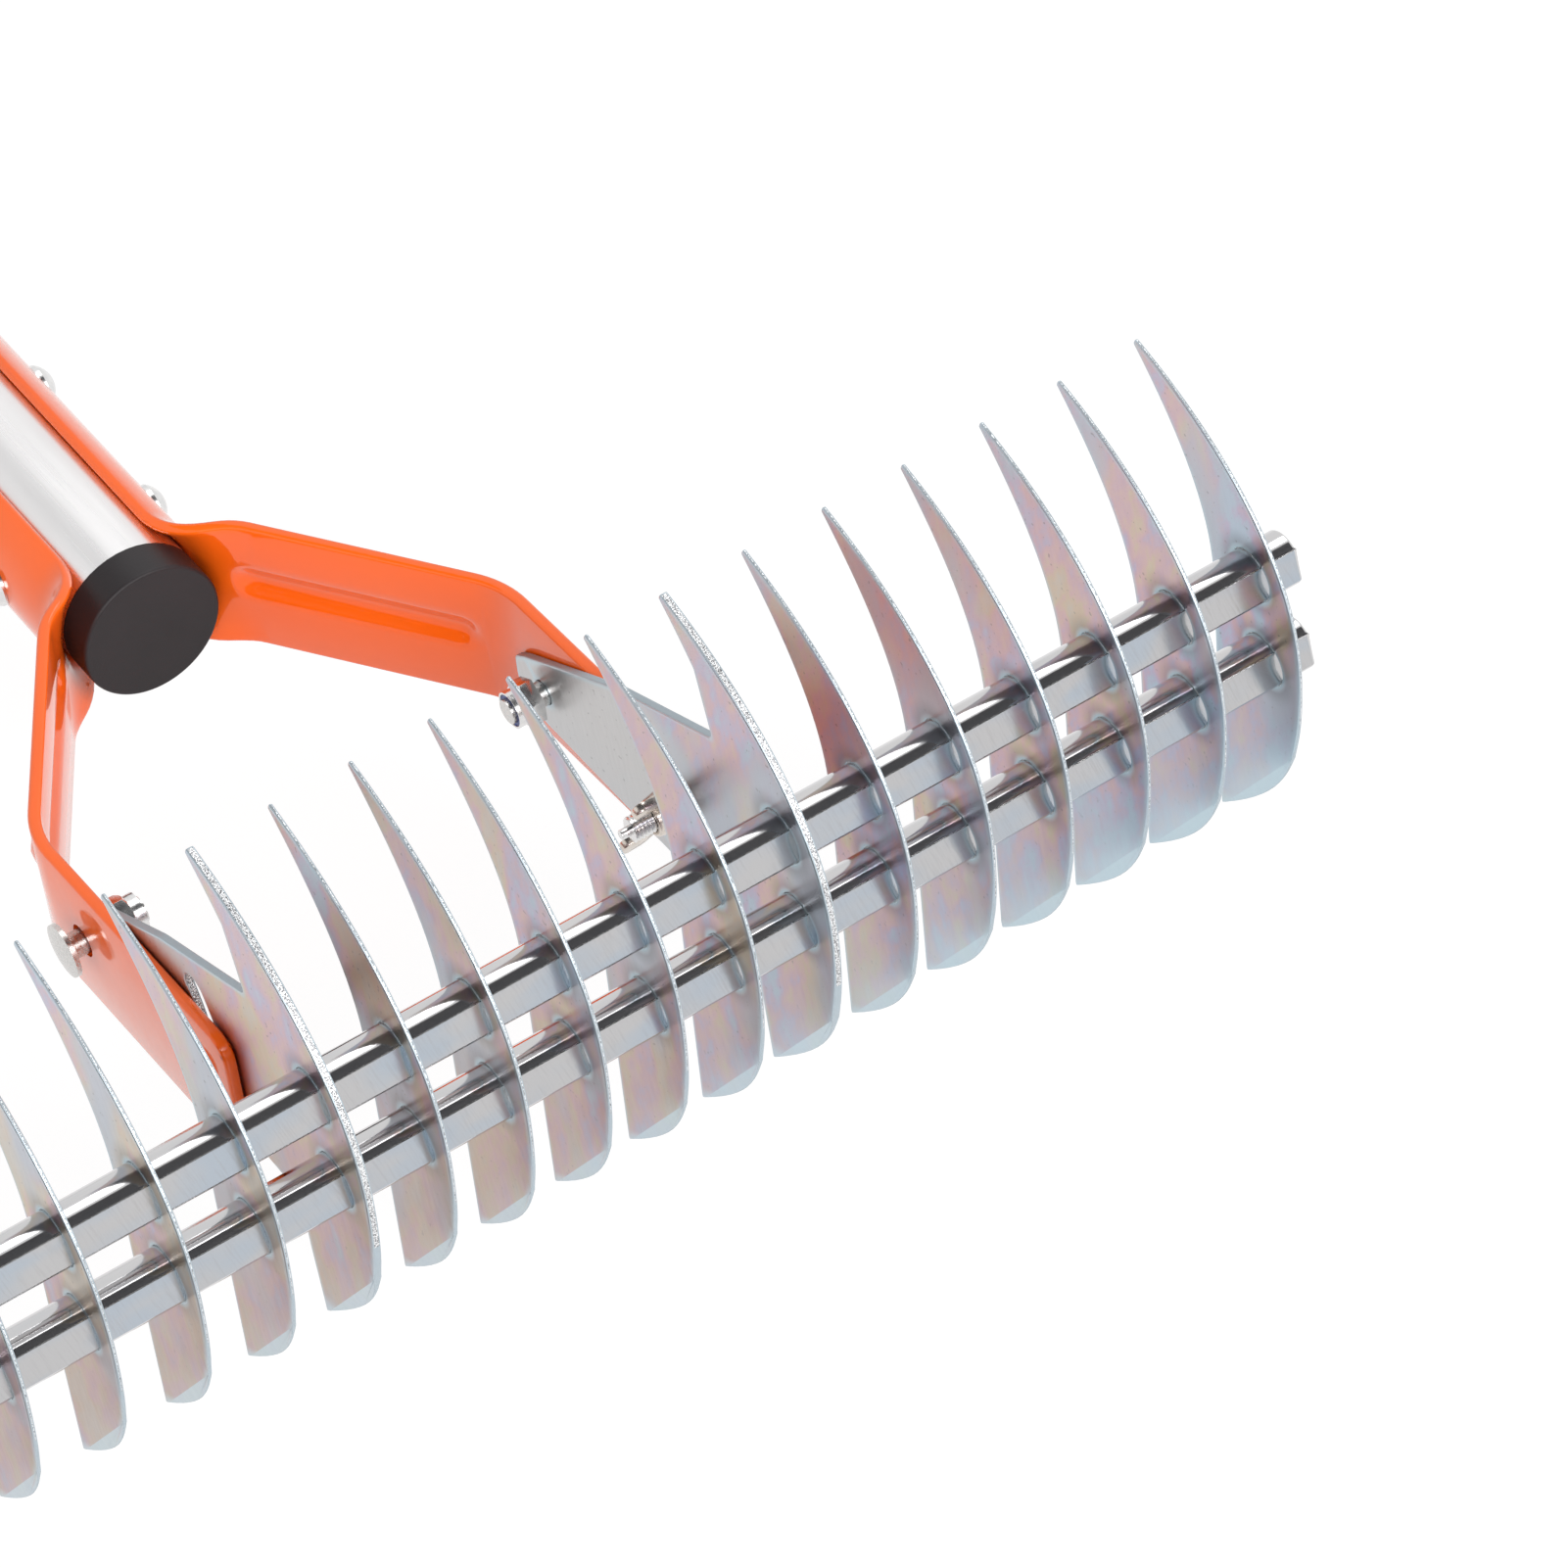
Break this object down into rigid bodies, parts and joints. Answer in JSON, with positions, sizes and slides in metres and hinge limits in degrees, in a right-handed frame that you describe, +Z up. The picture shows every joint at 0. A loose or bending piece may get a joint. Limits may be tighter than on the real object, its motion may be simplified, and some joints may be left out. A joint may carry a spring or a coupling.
{
  "type": "thatch rake",
  "caption": "Long-handled thatch rake: a row of crescent blades on two flatted rods, tilting in a pressed fork and locked by wing nuts, on a tube handle with a soft grip.",
  "frame": {"origin": "middle of the bounding box, on the floor the rake lies on", "axes": "+Z up with the blade points up, +Y along the handle towards the grip, +X along the rods"},
  "size_m": [0.3786, 1.4735, 0.1246],
  "materials": {
    "zinc_blade": "zinc plated sheet with an iridescent passivated surface",
    "bright_rod": "bright zinc plated bar",
    "orange_paint": "glossy orange powder coat",
    "stainless": "polished stainless tube",
    "black_plastic": "moulded black plastic",
    "rubber": "soft black grip",
    "fastener": "bright zinc plated fasteners",
    "nickel": "nickel plated wing nuts",
    "blue_nylon": "nylon ring of the lock nuts"
  },
  "bodies": {
    "handle": {"handle_tube_lower": "stainless", "handle_tube_middle": "stainless", "handle_tube_upper": "stainless", "handle_joint_screws": "fastener", "hand_grip": "rubber", "grip_end_plug": "black_plastic", "tube_end_cap": "black_plastic", "fork_arm_left": "orange_paint", "fork_arm_right": "orange_paint", "fork_rivets": "fastener", "pivot_bolt_left": "fastener", "pivot_bolt_right": "fastener", "pivot_nut_left": "fastener", "pivot_nut_right": "fastener", "nut_insert_left": "blue_nylon", "nut_insert_right": "blue_nylon", "lock_bolt_left": "fastener", "lock_bolt_right": "fastener"},
    "head": {"rod_upper": "bright_rod", "rod_lower": "bright_rod", "blade_left_9": "zinc_blade", "blade_left_8": "zinc_blade", "blade_left_7": "zinc_blade", "blade_left_6": "zinc_blade", "blade_left_5": "zinc_blade", "blade_left_4": "zinc_blade", "ear_blade_left": "zinc_blade", "blade_left_2": "zinc_blade", "blade_left_1": "zinc_blade", "blade_middle": "zinc_blade", "blade_right_1": "zinc_blade", "blade_right_2": "zinc_blade", "ear_blade_right": "zinc_blade", "blade_right_4": "zinc_blade", "blade_right_5": "zinc_blade", "blade_right_6": "zinc_blade", "blade_right_7": "zinc_blade", "blade_right_8": "zinc_blade", "blade_right_9": "zinc_blade"},
    "wing_nut_left": {"wing_nut_left": "nickel"},
    "wing_nut_right": {"wing_nut_right": "nickel"}
  },
  "joints": [
    {"name": "head_tilt", "type": "hinge", "parent": "handle", "child": "head", "pos_m": [0, -0.62092, 0.04613], "axis": [1, 0, 0], "range_deg": [-12, 18]},
    {"name": "wing_nut_left_turn", "type": "hinge", "parent": "handle", "child": "wing_nut_left", "pos_m": [-0.0579, -0.67488, 0.05509], "axis": [1, 0, 0], "continuous": true},
    {"name": "wing_nut_right_turn", "type": "hinge", "parent": "handle", "child": "wing_nut_right", "pos_m": [0.0579, -0.67488, 0.05509], "axis": [1, 0, 0], "continuous": true}
  ]
}
